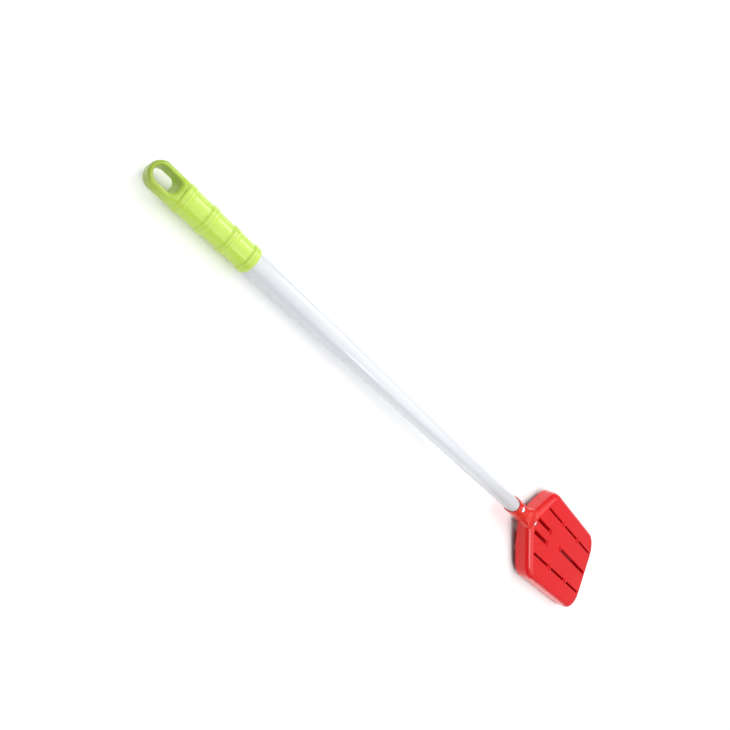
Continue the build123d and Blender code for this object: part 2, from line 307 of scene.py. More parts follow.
@dataclass(frozen=True)
class MouldedGloss(Finish):
    """Glossy injection-moulded plastic: flow streaks, a fine skin and faint handling hairlines."""

    deep: Colour = (0.5, 0.5, 0.5, 1.0)
    # painted shade: a darker tone blended in towards one end of the part, full at the first place below and
    # gone by the second
    painted_shade: Colour = (0.5, 0.5, 0.5, 1.0)
    painted_shade_from: float = 0.0
    painted_shade_to: float = 0.03
    roughness: float = 0.24
    coat: float = 0.35
    coat_roughness: float = 0.08
    ior: float = 1.4
    skin_depth: float = 0.00006
    subsurface: float = 0.0
    subsurface_depth: float = 0.002
    scored: tuple[float, float] | None = None
    scored_half_width: float = 0.00045
    scored_floor: float = 0.0002
    scored_fade: float = 0.0005

    def dress(self, graph: Graph, shader: bpy.types.Node, local: bpy.types.NodeSocket) -> None:
        """Colour by random clouds and flow, with painted shade towards one end, roughness by streaks and
        hairlines, and a fine skin.

        Args:
            graph: The material's graph.
            shader: The shader to feed.
            local: Place in the drawing frame.
        """
        along, across, _ = graph.parts(local)
        cloud = self.noise(graph, local, 26.0, 3.0)
        streak = self.noise(graph, self.stretched(graph, local, (14.0, 120.0, 90.0)), 1.0, 3.0, 0.6)
        tone = self.blend(graph, cloud.rising(0.35, 0.75) * 0.5 + streak * 0.22, self.colour, self.deep)
        # painted shade: the colour darkens towards one end, over the head's collar and neck (a deeper, more
        # orange red) or over the grip's hanging eye
        tone = self.blend(graph, along.rising(self.painted_shade_to, self.painted_shade_from) * 0.8, tone, self.painted_shade)
        hairs = self.scuffs(graph, local, 95.0, 0.012)
        skin = self.noise(graph, local, 1500.0, 2.0)
        graph.feed(tone, shader.inputs["Base Color"])
        graph.feed(self.roughness + streak * 0.07 + hairs * 0.16, shader.inputs["Roughness"])
        height = skin * 0.12 + streak * 0.16 - hairs * 0.4
        if self.scored:
            start, end = self.scored
            line = abs(across).rising(self.scored_half_width, self.scored_floor)
            fade = self.scored_fade
            line = line * along.rising(start - fade, start) * along.rising(end, end - fade)
            height = height + line * 2.2
        graph.feed(self.bump(graph, height, 0.4, self.skin_depth), shader.inputs["Normal"])
        shader.inputs["IOR"].default_value = self.ior
        shader.inputs["Coat Weight"].default_value = self.coat
        shader.inputs["Coat Roughness"].default_value = self.coat_roughness
        if self.subsurface:
            shader.inputs["Subsurface Weight"].default_value = self.subsurface
            shader.inputs["Subsurface Radius"].default_value = (1.0, 1.0, 0.4)
            shader.inputs["Subsurface Scale"].default_value = self.subsurface_depth


@dataclass(frozen=True)
class TubeEnamel(Finish):
    """White powder coat on a thin steel tube: orange peel, draw lines and rubbed bands at both sockets."""

    shade: Colour = (0.6, 0.61, 0.66, 1.0)
    rubbed: Colour = (0.5, 0.51, 0.55, 1.0)
    grip_mouth: float = 0.0
    collar_mouth: float = 0.354
    rubbed_length: float = 0.006
    peel_depth: float = 0.00005
    coat: float = 0.3
    coat_roughness: float = 0.1

    def dress(self, graph: Graph, shader: bpy.types.Node, local: bpy.types.NodeSocket) -> None:
        """Off-white enamel, duller where the grip and the collar have rubbed it.

        Args:
            graph: The material's graph.
            shader: The shader to feed.
            local: Place in the drawing frame.
        """
        along, _, _ = graph.parts(local)
        cloud = self.noise(graph, local, 18.0, 3.0)
        draw = self.noise(graph, self.stretched(graph, local, (5.0, 520.0, 520.0)), 1.0, 3.0)
        peel = self.noise(graph, local, 620.0, 1.5)
        near_grip = abs(along - self.grip_mouth).rising(self.rubbed_length, 0.0)
        ends = near_grip + abs(along - self.collar_mouth).rising(self.rubbed_length, 0.0)
        specks = self.noise(graph, local, 900.0, 1.0).rising(0.68, 0.74)
        rub = ends * self.noise(graph, local, 420.0, 4.0).rising(0.52, 0.68)
        tone = self.blend(graph, cloud.rising(0.3, 0.8) * 0.35 + draw * 0.12, self.colour, self.shade)
        tone = self.blend(graph, rub * 0.55 + specks * 0.12, tone, self.rubbed)
        hairs = self.scuffs(graph, local, 120.0, 0.01)
        graph.feed(tone, shader.inputs["Base Color"])
        graph.feed(0.27 + draw * 0.08 + rub * 0.2 + hairs * 0.15, shader.inputs["Roughness"])
        height = peel * 0.8 + draw * 0.3 - hairs * 0.5 - rub * 0.5
        graph.feed(self.bump(graph, height, 0.4, self.peel_depth), shader.inputs["Normal"])
        shader.inputs["Coat Weight"].default_value = self.coat
        shader.inputs["Coat Roughness"].default_value = self.coat_roughness


@dataclass(frozen=True)
class RivetMetal(Finish):
    """Bright upset aluminium with fine turning marks and a few dull spots."""

    dull: Colour = (0.5, 0.5, 0.52, 1.0)
    mark_depth: float = 0.00004

    def dress(self, graph: Graph, shader: bpy.types.Node, local: bpy.types.NodeSocket) -> None:
        """Metal with roughness that varies over each head.

        Args:
            graph: The material's graph.
            shader: The shader to feed.
            local: Place in the drawing frame.
        """
        marks = self.noise(graph, self.stretched(graph, local, (400.0, 2400.0, 400.0)), 1.0, 2.0)
        spots = self.noise(graph, local, 800.0, 3.0).rising(0.55, 0.75)
        graph.feed(self.blend(graph, spots, self.colour, self.dull), shader.inputs["Base Color"])
        graph.feed(0.16 + marks * 0.14 + spots * 0.2, shader.inputs["Roughness"])
        graph.feed(self.bump(graph, marks * 0.5 + spots * 0.5, 0.5, self.mark_depth), shader.inputs["Normal"])
        shader.inputs["Metallic"].default_value = 1.0


@dataclass(frozen=True)
class PlugPlastic(Finish):
    """Matte natural plastic with a spark-eroded skin."""

    dark: Colour = (0.4, 0.4, 0.38, 1.0)
    grain_depth: float = 0.00008

    def dress(self, graph: Graph, shader: bpy.types.Node, local: bpy.types.NodeSocket) -> None:
        """Mottled matte plastic.

        Args:
            graph: The material's graph.
            shader: The shader to feed.
            local: Place in the drawing frame.
        """
        cloud = self.noise(graph, local, 60.0, 4.0)
        grain = self.noise(graph, local, 2300.0, 2.0)
        tone = self.blend(graph, cloud.rising(0.35, 0.75) * 0.6, self.colour, self.dark)
        graph.feed(tone, shader.inputs["Base Color"])
        graph.feed(0.55 + grain * 0.2, shader.inputs["Roughness"])
        graph.feed(self.bump(graph, grain, 0.5, self.grain_depth), shader.inputs["Normal"])


@dataclass(frozen=True)
class StudioPaper(Finish):
    """Plain pale seamless paper."""

    tooth: Colour = (0.9, 0.9, 0.91, 1.0)
    roughness: float = 0.95
    specular: float = 0.1

    def dress(self, graph: Graph, shader: bpy.types.Node, local: bpy.types.NodeSocket) -> None:
        """Near-white matte paper with hardly any tooth.

        Args:
            graph: The material's graph.
            shader: The shader to feed.
            local: Place in the drawing frame.
        """
        tooth = self.noise(graph, local, 35.0, 3.0)
        graph.feed(self.blend(graph, tooth * 0.04, self.colour, self.tooth), shader.inputs["Base Color"])
        shader.inputs["Roughness"].default_value = self.roughness
        shader.inputs["Specular IOR Level"].default_value = self.specular


# ---------------------------------------------------------------- distance fields
def round_union(first: Array, second: Array, radius: float) -> Array:
    """Joins two solids with a fillet of that radius in the corner between them."""
    a, b = np.maximum(radius - first, 0.0), np.maximum(radius - second, 0.0)
    return np.maximum(radius, np.minimum(first, second)) - np.hypot(a, b)


def round_cut(solid: Array, tool: Array, radius: float) -> Array:
    """Cuts tool out of solid and rounds the new edge to that radius."""
    a, b = np.maximum(radius + solid, 0.0), np.maximum(radius - tool, 0.0)
    return np.minimum(-radius, np.maximum(solid, -tool)) + np.hypot(a, b)


def corner(first: Array, second: Array, radius: float) -> Array:
    """The solid inside both bounds, with the edge between them rounded to radius."""
    a, b = first + radius, second + radius
    return np.hypot(np.maximum(a, 0.0), np.maximum(b, 0.0)) + np.minimum(np.maximum(a, b), 0.0) - radius


def oblong(x: Array, y: Array, half_x: float | Array, half_y: float, radius: float | Array = 0.0) -> Array:
    """Distance to a rectangle about the origin with rounded corners."""
    return corner(np.abs(x) - half_x, np.abs(y) - half_y, radius)


def slopes(solid: Field, points: Array, step: float) -> Array:
    """The field's gradient at each point."""
    shifts = np.eye(3) * step
    return np.stack([solid(points + s) - solid(points - s) for s in shifts], 1) / (2 * step)


def in_batches(solid: Field, points: Array, size: int = 400_000) -> Array:
    """Evaluates a field a batch at a time."""
    return np.concatenate([solid(points[i:i + size]) for i in range(0, len(points), size)])


def surface_net(solid: Field, low: Sequence[float], high: Sequence[float],
                cell: float) -> tuple[Array, Array]:
    """Meshes the zero surface of a distance field with one vertex a crossed cell.

    Args:
        solid: The field, negative inside.
        low: Lowest corner of the space to search.
        high: Highest corner.
        cell: Edge of a cell.

    Returns:
        Vertices, and quads of vertex numbers that face outwards.
    """
    low = np.array(low, float)
    count = np.ceil((np.array(high, float) - low) / cell).astype(int) + 1
    axes = [low[i] + cell * np.arange(count[i]) for i in range(3)]
    points = np.stack(np.meshgrid(*axes, indexing="ij"), -1).reshape(-1, 3)
    values = in_batches(solid, points).reshape(count)
    cells = count - 1
    total, hits = np.zeros((*cells, 3)), np.zeros(cells)
    for axis in range(3):
        sides = [i for i in range(3) if i != axis]
        for offset in ((0, 0), (0, 1), (1, 0), (1, 1)):
            near = [slice(None)] * 3
            for side, step in zip(sides, offset):
                near[side] = slice(step, step + cells[side])
            far = list(near)
            near[axis], far[axis] = slice(0, cells[axis]), slice(1, None)
            a, b = values[tuple(near)], values[tuple(far)]
            crossed = (a < 0) != (b < 0)
            share = np.where(crossed, a / np.where(crossed, a - b, 1.0), 0.0)
            total[..., axis] += share
            for side, step in zip(sides, offset):
                total[..., side] += crossed * step
            hits += crossed
    used = hits > 0
    number = np.full(cells, -1)
    number[used] = np.arange(used.sum())
    vertices = low + cell * (np.argwhere(used) + total[used] / hits[used][:, None])
    quads = []
    for axis in range(3):
        b, c = (axis + 1) % 3, (axis + 2) % 3
        near = [slice(None)] * 3
        near[b], near[c] = slice(1, -1), slice(1, -1)
        far = list(near)
        near[axis], far[axis] = slice(0, -1), slice(1, None)
        inside, beyond = values[tuple(near)] < 0, values[tuple(far)] < 0
        places = np.argwhere(inside != beyond)
        outward = inside[tuple(places.T)]
        places[:, b] += 1
        places[:, c] += 1
        ring = []
        for back_b, back_c in ((1, 1), (0, 1), (0, 0), (1, 0)):
            shifted = places.copy()
            shifted[:, b] -= back_b
            shifted[:, c] -= back_c
            ring.append(number[tuple(shifted.T)])
        faces = np.stack(ring, 1)
        faces[~outward] = faces[~outward][:, ::-1]
        quads.append(faces)
    for _ in range(NET_PASSES):
        slope = slopes(solid, vertices, cell * SLOPE_STEP)
        size = np.maximum((slope**2).sum(1), 0.25)
        move = -slope * (solid(vertices) / size)[:, None]
        vertices = vertices + np.clip(move, -cell / 2, cell / 2)
    return vertices, np.concatenate(quads)


def settled(piece: bpy.types.Object) -> None:
    """Turns a piece and its modifiers into one plain mesh.

    Args:
        piece: The piece, which keeps its name.
    """
    depsgraph = bpy.context.evaluated_depsgraph_get()
    evaluated = piece.evaluated_get(depsgraph)
    mesh = bpy.data.meshes.new_from_object(evaluated, preserve_all_data_layers=True, depsgraph=depsgraph)
    old = piece.data
    piece.modifiers.clear()
    piece.data = mesh
    bpy.data.meshes.remove(old)


def sculpted(name: str, solid: Field, low: Sequence[float], high: Sequence[float], cell: float,
             place: Matrix) -> bpy.types.Object:
    """Makes a piece from a distance field, with its flats merged and true normals.

    Args:
        name: The piece's name.
        solid: Its field in the drawing frame.
        low: Lowest corner of the space to search.
        high: Highest corner.
        cell: Edge of a cell.
        place: The drawing frame in the row frame, in metres.

    Returns:
        The piece, in place.
    """
    vertices, quads = surface_net(solid, low, high, cell)
    mesh = bpy.data.meshes.new(name)
    mesh.from_pydata(vertices.tolist(), [], quads.tolist())
    tiles = np.floor(vertices[quads].mean(1) / FLAT_TILE).astype(int) % 3
    mesh.polygons.foreach_set("material_index", tiles @ np.array([1, 3, 9]))
    piece = bpy.data.objects.new(name, mesh)
    bpy.context.scene.collection.objects.link(piece)
    flats = piece.modifiers.new("flats", "DECIMATE")
    flats.decimate_type = "DISSOLVE"
    flats.angle_limit = FLAT_ANGLE
    flats.delimit = {"MATERIAL"}
    settled(piece)
    mesh = piece.data
    mesh.name = name
    mesh.polygons.foreach_set("material_index", np.zeros(len(mesh.polygons), int))
    points = np.empty(len(mesh.vertices) * 3)
    mesh.vertices.foreach_get("co", points)
    true = slopes(solid, points.reshape(-1, 3), cell * SLOPE_STEP)
    true /= np.maximum(np.linalg.norm(true, axis=1), 1e-9)[:, None]
    corners = np.empty(len(mesh.loops), int)
    mesh.loops.foreach_get("vertex_index", corners)
    flat = np.empty(len(mesh.polygons) * 3)
    mesh.polygons.foreach_get("normal", flat)
    flat = flat.reshape(-1, 3)
    areas, sizes = np.empty(len(mesh.polygons)), np.empty(len(mesh.polygons), int)
    mesh.polygons.foreach_get("area", areas)
    mesh.polygons.foreach_get("loop_total", sizes)
    owner = np.repeat(np.arange(len(sizes)), sizes)
    normals = true[corners]
    agree = (normals * flat[owner]).sum(1)
    merged = (areas[owner] > FLAT_CELLS * cell**2) & (sizes[owner] > 4)
    keep_flat = merged | (agree < math.cos(STRAY_NORMAL))
    normals[keep_flat] = flat[owner][keep_flat]
    turn = np.array(place.to_3x3().normalized())
    mesh.transform(place @ Matrix.Scale(MM, 4))
    mesh.polygons.foreach_set("use_smooth", np.ones(len(sizes), bool))
    mesh.normals_split_custom_set((normals @ turn.T).tolist())
    mesh.update()
    return piece


# ---------------------------------------------------------------- geometry node recipes
class Recipe:
    """A Geometry Nodes tree with named inputs, run once on a mesh of starting points."""

    KINDS = {float: "NodeSocketFloat", int: "NodeSocketInt"}

    def __init__(self, name: str, inputs: dict[str, Any], material: bpy.types.Material) -> None:
        """Makes the tree's group inputs.

        Args:
            name: The tree's name.
            inputs: Each size by name, as a float or an int.
            material: What Set Material gives the result.
        """
        self.tree = bpy.data.node_groups.new(name, "GeometryNodeTree")
        face = self.tree.interface
        face.new_socket("Geometry", in_out="INPUT", socket_type="NodeSocketGeometry")
        self.values = {**inputs, "Finish": material}
        self.ids = {}
        for key, value in self.values.items():
            kind = self.KINDS.get(type(value), "NodeSocketMaterial")
            self.ids[key] = face.new_socket(key, in_out="INPUT", socket_type=kind).identifier
        face.new_socket("Geometry", in_out="OUTPUT", socket_type="NodeSocketGeometry")
        self.graph = Graph(self.tree)
        self.start = self.graph.add("NodeGroupInput")

    def __getitem__(self, key: str) -> Num:
        """A named input as a number."""
        return Num(self.graph, self.start.outputs[key])

    def circle(self, steps: str, radius: Num) -> bpy.types.Node:
        """A circle with as many points as the named input says."""
        values = {"Resolution": self.start.outputs[steps], "Radius": radius}
        return self.graph.add("GeometryNodeCurvePrimitiveCircle", None, values)

    def spread(self, instance: Any, **more: Any) -> None:
        """Puts an instance on each starting point and ends the tree."""
        values = {"Points": self.start.outputs[0], "Instance": instance, **more}
        self.finish(self.graph.add("GeometryNodeInstanceOnPoints", None, values))

    def finish(self, geometry: Any) -> None:
        """Ends the tree: smooth, realize, set material, out.

        Args:
            geometry: The finished shape.
        """
        smooth = self.graph.add("GeometryNodeSetShadeSmooth", None, {0: geometry})
        real = self.graph.add("GeometryNodeRealizeInstances", None, {0: smooth})
        dressed = self.graph.add("GeometryNodeSetMaterial", None, {0: real, 2: self.start.outputs["Finish"]})
        self.graph.add("NodeGroupOutput", None, {0: dressed})

    def run(self, name: str, points: Sequence[Sequence[float]], place: Matrix,
            marks: dict[str, Sequence[float]] | None = None) -> bpy.types.Object:
        """Runs the tree and lays the result in place.

        Args:
            name: The piece's name.
            points: Starting points in the drawing frame.
            place: The drawing frame in the row frame, in metres.
            marks: Float attributes of the starting points.

        Returns:
            The piece as a plain mesh.
        """
        mesh = bpy.data.meshes.new(name)
        mesh.from_pydata([tuple(p) for p in points], [], [])
        for key, numbers in (marks or {}).items():
            mesh.attributes.new(key, "FLOAT", "POINT").data.foreach_set("value", list(numbers))
        piece = bpy.data.objects.new(name, mesh)
        modifier = piece.modifiers.new(name, "NODES")
        modifier.node_group = self.tree
        for key, value in self.values.items():
            modifier[self.ids[key]] = value
        bpy.context.scene.collection.objects.link(piece)
        settled(piece)
        piece.data.name = name
        piece.data.transform(place @ Matrix.Scale(MM, 4))
        return piece


def lozenge(graph: Graph, across: Any, along: Any, tall: Any, fullness: Any,
            steps: tuple[int, int, int]) -> bpy.types.NodeSocket:
    """A closed rounded block.

    Args:
        graph: The geometry tree.
        across: Its full width.
        along: Its full length.
        tall: Its height above its middle.
        fullness: How full its corners are, 2 being an ellipsoid.
        steps: Vertices on each axis.

    Returns:
        The block's geometry.
    """
    counts = dict(zip(("Vertices X", "Vertices Y", "Vertices Z"), steps))
    block = graph.add("GeometryNodeMeshCube", None, {"Size": (2.0, 2.0, 2.0), **counts})
    place = graph.add("GeometryNodeInputPosition").outputs[0]
    x, y, z = graph.parts(place)
    reach = (abs(x) ** fullness + abs(y) ** fullness + abs(z) ** fullness) ** (1 / fullness)
    half = graph.joined(across * 0.5, along * 0.5, tall)
    unit = graph.vector_maths("DIVIDE", place, graph.joined(reach, reach, reach))
    shaped = graph.vector_maths("MULTIPLY", unit, half)
    return graph.add("GeometryNodeSetPosition", None, {"Geometry": block, "Position": shaped}).outputs[0]


# ---------------------------------------------------------------- how the frames lie
@dataclass(frozen=True)
class Lay:
    """Where the shaft and head frames lie in the row frame."""

    setback: float = math.radians(3.1)
    shaft_length: float = 392.7
    tube_start: float = -45.0
    tube_end: float = 395.7

    @property
    def tilt(self) -> float:
        """How far the shaft rises towards the head as the swatter lies on its back."""
        rest = next(m for m in frame["record"]["mounts"] if m["fit"] == "rest")
        return self.setback - math.atan2(-rest["axis"][0], -rest["axis"][2])

    @property
    def shaft(self) -> Matrix:
        """The shaft frame.

        Returns:
            The frame in the row frame, in metres.
        """
        low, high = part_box("shaft_tube")
        turn = Matrix.Rotation(-self.tilt, 4, "Y")
        middle = (self.tube_start + self.tube_end) / 2 * MM
        return Matrix.Translation((low + high) / 2 - turn @ Vector((middle, 0, 0))) @ turn

    @property
    def head(self) -> Matrix:
        """The head frame."""
        lean = Matrix.Rotation(self.setback, 4, "Y")
        return self.shaft @ Matrix.Translation((self.shaft_length * MM, 0, 0)) @ lean


# ---------------------------------------------------------------- head
@dataclass
class HeadMoulding:
    """The slotted head with its skirt, slot ducts, hub and socket collar, and the cross ribs on its face."""

    lay: Lay
    finish: MouldedGloss
    width: float = 99.2
    length: float = 211.0
    shoulder_length: float = 47.6
    depth: float = 17.4
    face: float = 5.3
    wall: float = 2.2
    face_thickness: float = 2.4
    edge_round: float = 7.5
    apex_round: float = 9.0
    shoulder_round: float = 28.0
    far_round: float = 26.0
    skirt_rise: float = 26.0
    rim_round: float = 0.5
    slot_lip_round: float = 0.4
    collar_radius: float = 8.5
    bore_radius: float = 7.6
    bore_end: float = 395.8
    collar_length: float = 38.5
    collar_scoop: float = 3.5
    collar_dome_back: float = 2.6
    collar_fillet: float = 4.0
    mouth_round: float = 0.35
    hub_radius: float = 9.8
    hub_height: float = 2.0
    hub_round: float = 1.6
    hub_fillet: float = 2.0
    duct_depth: float = 12.0
    duct_wall: float = 1.2
    duct_fillet: float = 0.8
    row_start: float = 35.5
    row_margin: float = 11.5
    row_offset: float = 25.5
    slots_in_row: int = 3
    slot_gap: float = 10.0
    narrow_slot: float = 2.6
    wide_slot: float = 4.0
    short_start: float = 19.5
    short_length: float = 37.0
    short_offset: float = 6.75
    long_start: float = 104.5
    long_margin: float = 10.5
    rib_length: float = 7.0
    rib_width: float = 2.2
    rib_height: float = 1.3
    rib_after_slot: float = 4.2
    rib_fullness: float = 3.2
    margin: float = 1.5
    cell: float = 0.65
    quick_cell: float = 1.3

    @property
    def rim(self) -> float:
        """Height of the skirt's rim."""
        return self.face - self.depth

    @property
    def underside(self) -> float:
        """Height of the face's underside."""
        return self.face - self.face_thickness

    def slots(self) -> list[tuple[float, float, float, float]]:
        """Each slot as (start, length, offset across, width).

        Returns:
            One entry a slot, rows first.
        """
        row_end = self.length - self.row_margin
        each = (row_end - self.row_start - (self.slots_in_row - 1) * self.slot_gap) / self.slots_in_row
        found = []
        for side in (-1, 1):
            for i in range(self.slots_in_row):
                start = self.row_start + i * (each + self.slot_gap)
                found.append((start, each, side * self.row_offset, self.narrow_slot))
            found.append((self.short_start, self.short_length, side * self.short_offset, self.wide_slot))
        found.append((self.long_start, self.length - self.long_margin - self.long_start, 0.0, self.wide_slot))
        return found

    def plan(self, x: Array, y: Array) -> Array:
        """Distance to the five-sided outline, whose corners are rounded.

        Args:
            x: Along the head.
            y: Across it.

        Returns:
            The distance, negative inside.
        """
        half = self.width / 2
        shoulder, far = self.shoulder_length, self.length
        tips = np.array([(0, 0), (shoulder, -half), (far, -half), (far, half), (shoulder, half)])
        rounds = (self.apex_round, self.shoulder_round, self.far_round, self.far_round, self.shoulder_round)
        run = np.roll(tips, -1, 0) - tips
        out = np.stack([run[:, 1], -run[:, 0]], 1) / np.linalg.norm(run, axis=1)[:, None]
        flat = [(x - tip[0]) * n[0] + (y - tip[1]) * n[1] for tip, n in zip(tips, out)]
        distance = np.maximum.reduce(flat)
        for tip, before, after, radius in zip(tips, np.roll(out, 1, 0), out, rounds):
            centre = tip - radius * (before + after) / (1 + before @ after)
            dx, dy = x - centre[0], y - centre[1]
            within = (before[0] * dy - before[1] * dx >= 0) & (dx * after[1] - dy * after[0] >= 0)
            distance = np.where(within, np.hypot(dx, dy) - radius, distance)
        return distance

    def collar(self, along: Array, y: Array, z: Array) -> Array:
        """The domed socket collar in the shaft frame, with its scooped mouth.

        Args:
            along: Along the shaft.
            y: Across it.
            z: Out of its front.

        Returns:
            The distance, negative inside.
        """
        mouth = self.lay.shaft_length - self.collar_length
        dome = self.bore_end - self.collar_dome_back
        barrel = np.sqrt(y**2 + z**2 + np.maximum(along - dome, 0.0)**2) - self.collar_radius
        scoop_radius = (self.collar_radius**2 + self.collar_scoop**2) / (2 * self.collar_scoop)
        back = along - mouth - self.collar_scoop + scoop_radius
        scoop = np.hypot(back, z - self.collar_radius) - scoop_radius
        return round_cut(corner(barrel, mouth - along, self.mouth_round), scoop, self.mouth_round)

    def solid(self, points: Array) -> Array:
        """The whole moulding's distance field in the head frame.

        Args:
            points: Places in the head frame.

        Returns:
            The distance, negative inside.
        """
        x, y, z = points.T
        plan = self.plan(x, y)
        outer = corner(plan, z - self.face, self.edge_round)
        inner = corner(plan + self.wall, z - self.underside, self.edge_round - self.wall)
        shell = np.maximum(outer, -inner)
        slot = np.full(len(x), np.inf)
        for start, length, across, width in self.slots():
            slot = np.minimum(slot, oblong(x - start - length / 2, y - across, length / 2, width / 2))
        duct_low = self.face - self.duct_depth
        duct = np.maximum.reduce([slot - self.duct_wall, z - self.underside - self.duct_wall, duct_low - z])
        body = round_cut(round_union(shell, duct, self.duct_fillet), slot, self.slot_lip_round)
        hub = corner(np.hypot(x, y) - self.hub_radius, z - self.face - self.hub_height, self.hub_round)
        body = round_union(body, np.maximum(hub, self.underside - z), self.hub_fillet)
        rise = (self.rim + self.collar_radius) / self.skirt_rise
        sweep = (rise * x - self.collar_radius - z) / math.hypot(1.0, rise)
        keep = np.maximum(self.rim - z, np.minimum(sweep, -self.collar_radius - z))
        body = round_cut(body, -keep, self.rim_round)
        cos, sin = math.cos(self.lay.setback), math.sin(self.lay.setback)
        along, up = self.lay.shaft_length + cos * x + sin * z, cos * z - sin * x
        body = round_union(body, self.collar(along, y, up), self.collar_fillet)
        bore = np.maximum(np.hypot(y, up) - self.bore_radius, along - self.bore_end)
        return np.maximum(body, -bore)

    def rib_places(self) -> list[tuple[float, float, float]]:
        """Centres of the cross ribs: after each slot that something follows, and before the long one.

        Returns:
            Places in the head frame.
        """
        row_end = self.length - self.row_margin
        found = []
        for start, length, across, _ in self.slots():
            if start + length < row_end - 1 and start != self.long_start:
                found.append((start + length + self.rib_after_slot, across, self.face))
        return found + [(self.long_start - self.rib_after_slot, 0.0, self.face)]

    def build(self) -> list[bpy.types.Object]:
        """Makes the moulding and its ribs.

        Returns:
            The two pieces.
        """
        material = self.finish.build()
        side = self.width / 2 + self.margin
        low = (-self.collar_length - self.margin, -side, self.rim - 1.2)
        high = (self.length + self.margin, side, self.face + 4.6)
        cell = self.cell
        moulding = sculpted("head_moulding", self.solid, low, high, cell, self.lay.head)
        moulding.data.materials.append(material)
        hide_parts("head")
        sizes = {"Width": self.rib_width, "Length": self.rib_length, "Height": self.rib_height,
                 "Fullness": self.rib_fullness}
        recipe = Recipe("cross_ribs", sizes, material)
        recipe.spread(lozenge(recipe.graph, *(recipe[key] for key in sizes), (9, 21, 9)))
        ribs = recipe.run("cross_ribs", self.rib_places(), self.lay.head)
        return [moulding, ribs]


@dataclass
class Rivets:
    """The two rivets: a dome and an upset tail each, through the collar and through the head's face."""

    lay: Lay
    finish: RivetMetal
    head: float = 5.2
    dome: float = 1.49
    tail: float = 1.1
    collar_back: float = 27.0
    collar_radius: float = 8.5
    face_ahead: float = 12.8
    face: float = 5.3
    tail_seat: float = -0.8
    fullness: float = 2.2

    def build(self) -> list[bpy.types.Object]:
        """Makes both rivets as one piece.

        Returns:
            The piece, in a list.
        """
        along = self.lay.shaft_length - self.collar_back
        turn = Matrix.Rotation(self.lay.setback, 3, "Y")
        points = [Vector((along, 0, self.collar_radius)), Vector((along, 0, -self.collar_radius))]
        for height in (self.face, self.tail_seat):
            points.append(Vector((self.lay.shaft_length, 0, 0)) + turn @ Vector((self.face_ahead, 0, height)))
        marks = {"tall": [self.dome, self.tail] * 2, "lean": [0.0, 0.0, self.lay.setback, self.lay.setback]}
        sizes = {"Head": self.head, "Fullness": self.fullness, "Unit": 1.0}
        recipe = Recipe("rivet_heads", sizes, self.finish.build())
        graph = recipe.graph
        head = recipe["Head"]
        button = lozenge(graph, head, head, recipe["Unit"], recipe["Fullness"], (17, 17, 13))
        number = {"data_type": "FLOAT"}
        lean = graph.add("GeometryNodeInputNamedAttribute", number, {"Name": "lean"}).outputs[0]
        tall = graph.add("GeometryNodeInputNamedAttribute", number, {"Name": "tall"}).outputs[0]
        turned = graph.add("FunctionNodeEulerToRotation", None, {0: graph.joined(0.0, lean, 0.0)})
        recipe.spread(button, Rotation=turned, Scale=graph.joined(1.0, 1.0, tall))
        rivets = recipe.run("head_rivet_heads", points, self.lay.shaft, marks)
        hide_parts("head_rivets")
        return [rivets]


# ---------------------------------------------------------------- tube
@dataclass
class ShaftTube:
    """The thin tube, turned as one closed wall."""

    lay: Lay
    finish: TubeEnamel
    radius: float = 7.5
    wall: float = 0.8
    end_round: float = 0.25
    sides: int = 128

    def build(self) -> list[bpy.types.Object]:
        """Turns the wall's section about the tube's axis.

        Returns:
            The piece, in a list.
        """
        start, end = self.lay.tube_start, self.lay.tube_end
        sizes = {"Length": end - start, "Radius": self.radius, "Wall": self.wall, "End Round": self.end_round,
                 "Sides": self.sides}
        recipe = Recipe("turned_tube", sizes, self.finish.build())
        graph = recipe.graph
        outline = {0: recipe["Wall"], 1: recipe["Length"]}
        section = graph.add("GeometryNodeCurvePrimitiveQuadrilateral", {"mode": "RECTANGLE"}, outline)
        rounded = {"Curve": section, "Radius": recipe["End Round"]}
        section = graph.add("GeometryNodeFilletCurve", None, rounded)
        ring = recipe.circle("Sides", recipe["Radius"] - recipe["Wall"] * 0.5)
        turned = graph.add("GeometryNodeCurveToMesh", None, {0: ring, "Profile Curve": section})
        centre = ((end + start) / 2, 0.0, 0.0)
        values = {"Geometry": turned, "Translation": centre, "Rotation": (0.0, math.pi / 2, 0.0)}
        recipe.finish(graph.add("GeometryNodeTransform", None, values))
        tube = recipe.run("tube", [(0, 0, 0)], self.lay.shaft)
        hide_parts("shaft_tube")
        return [tube]


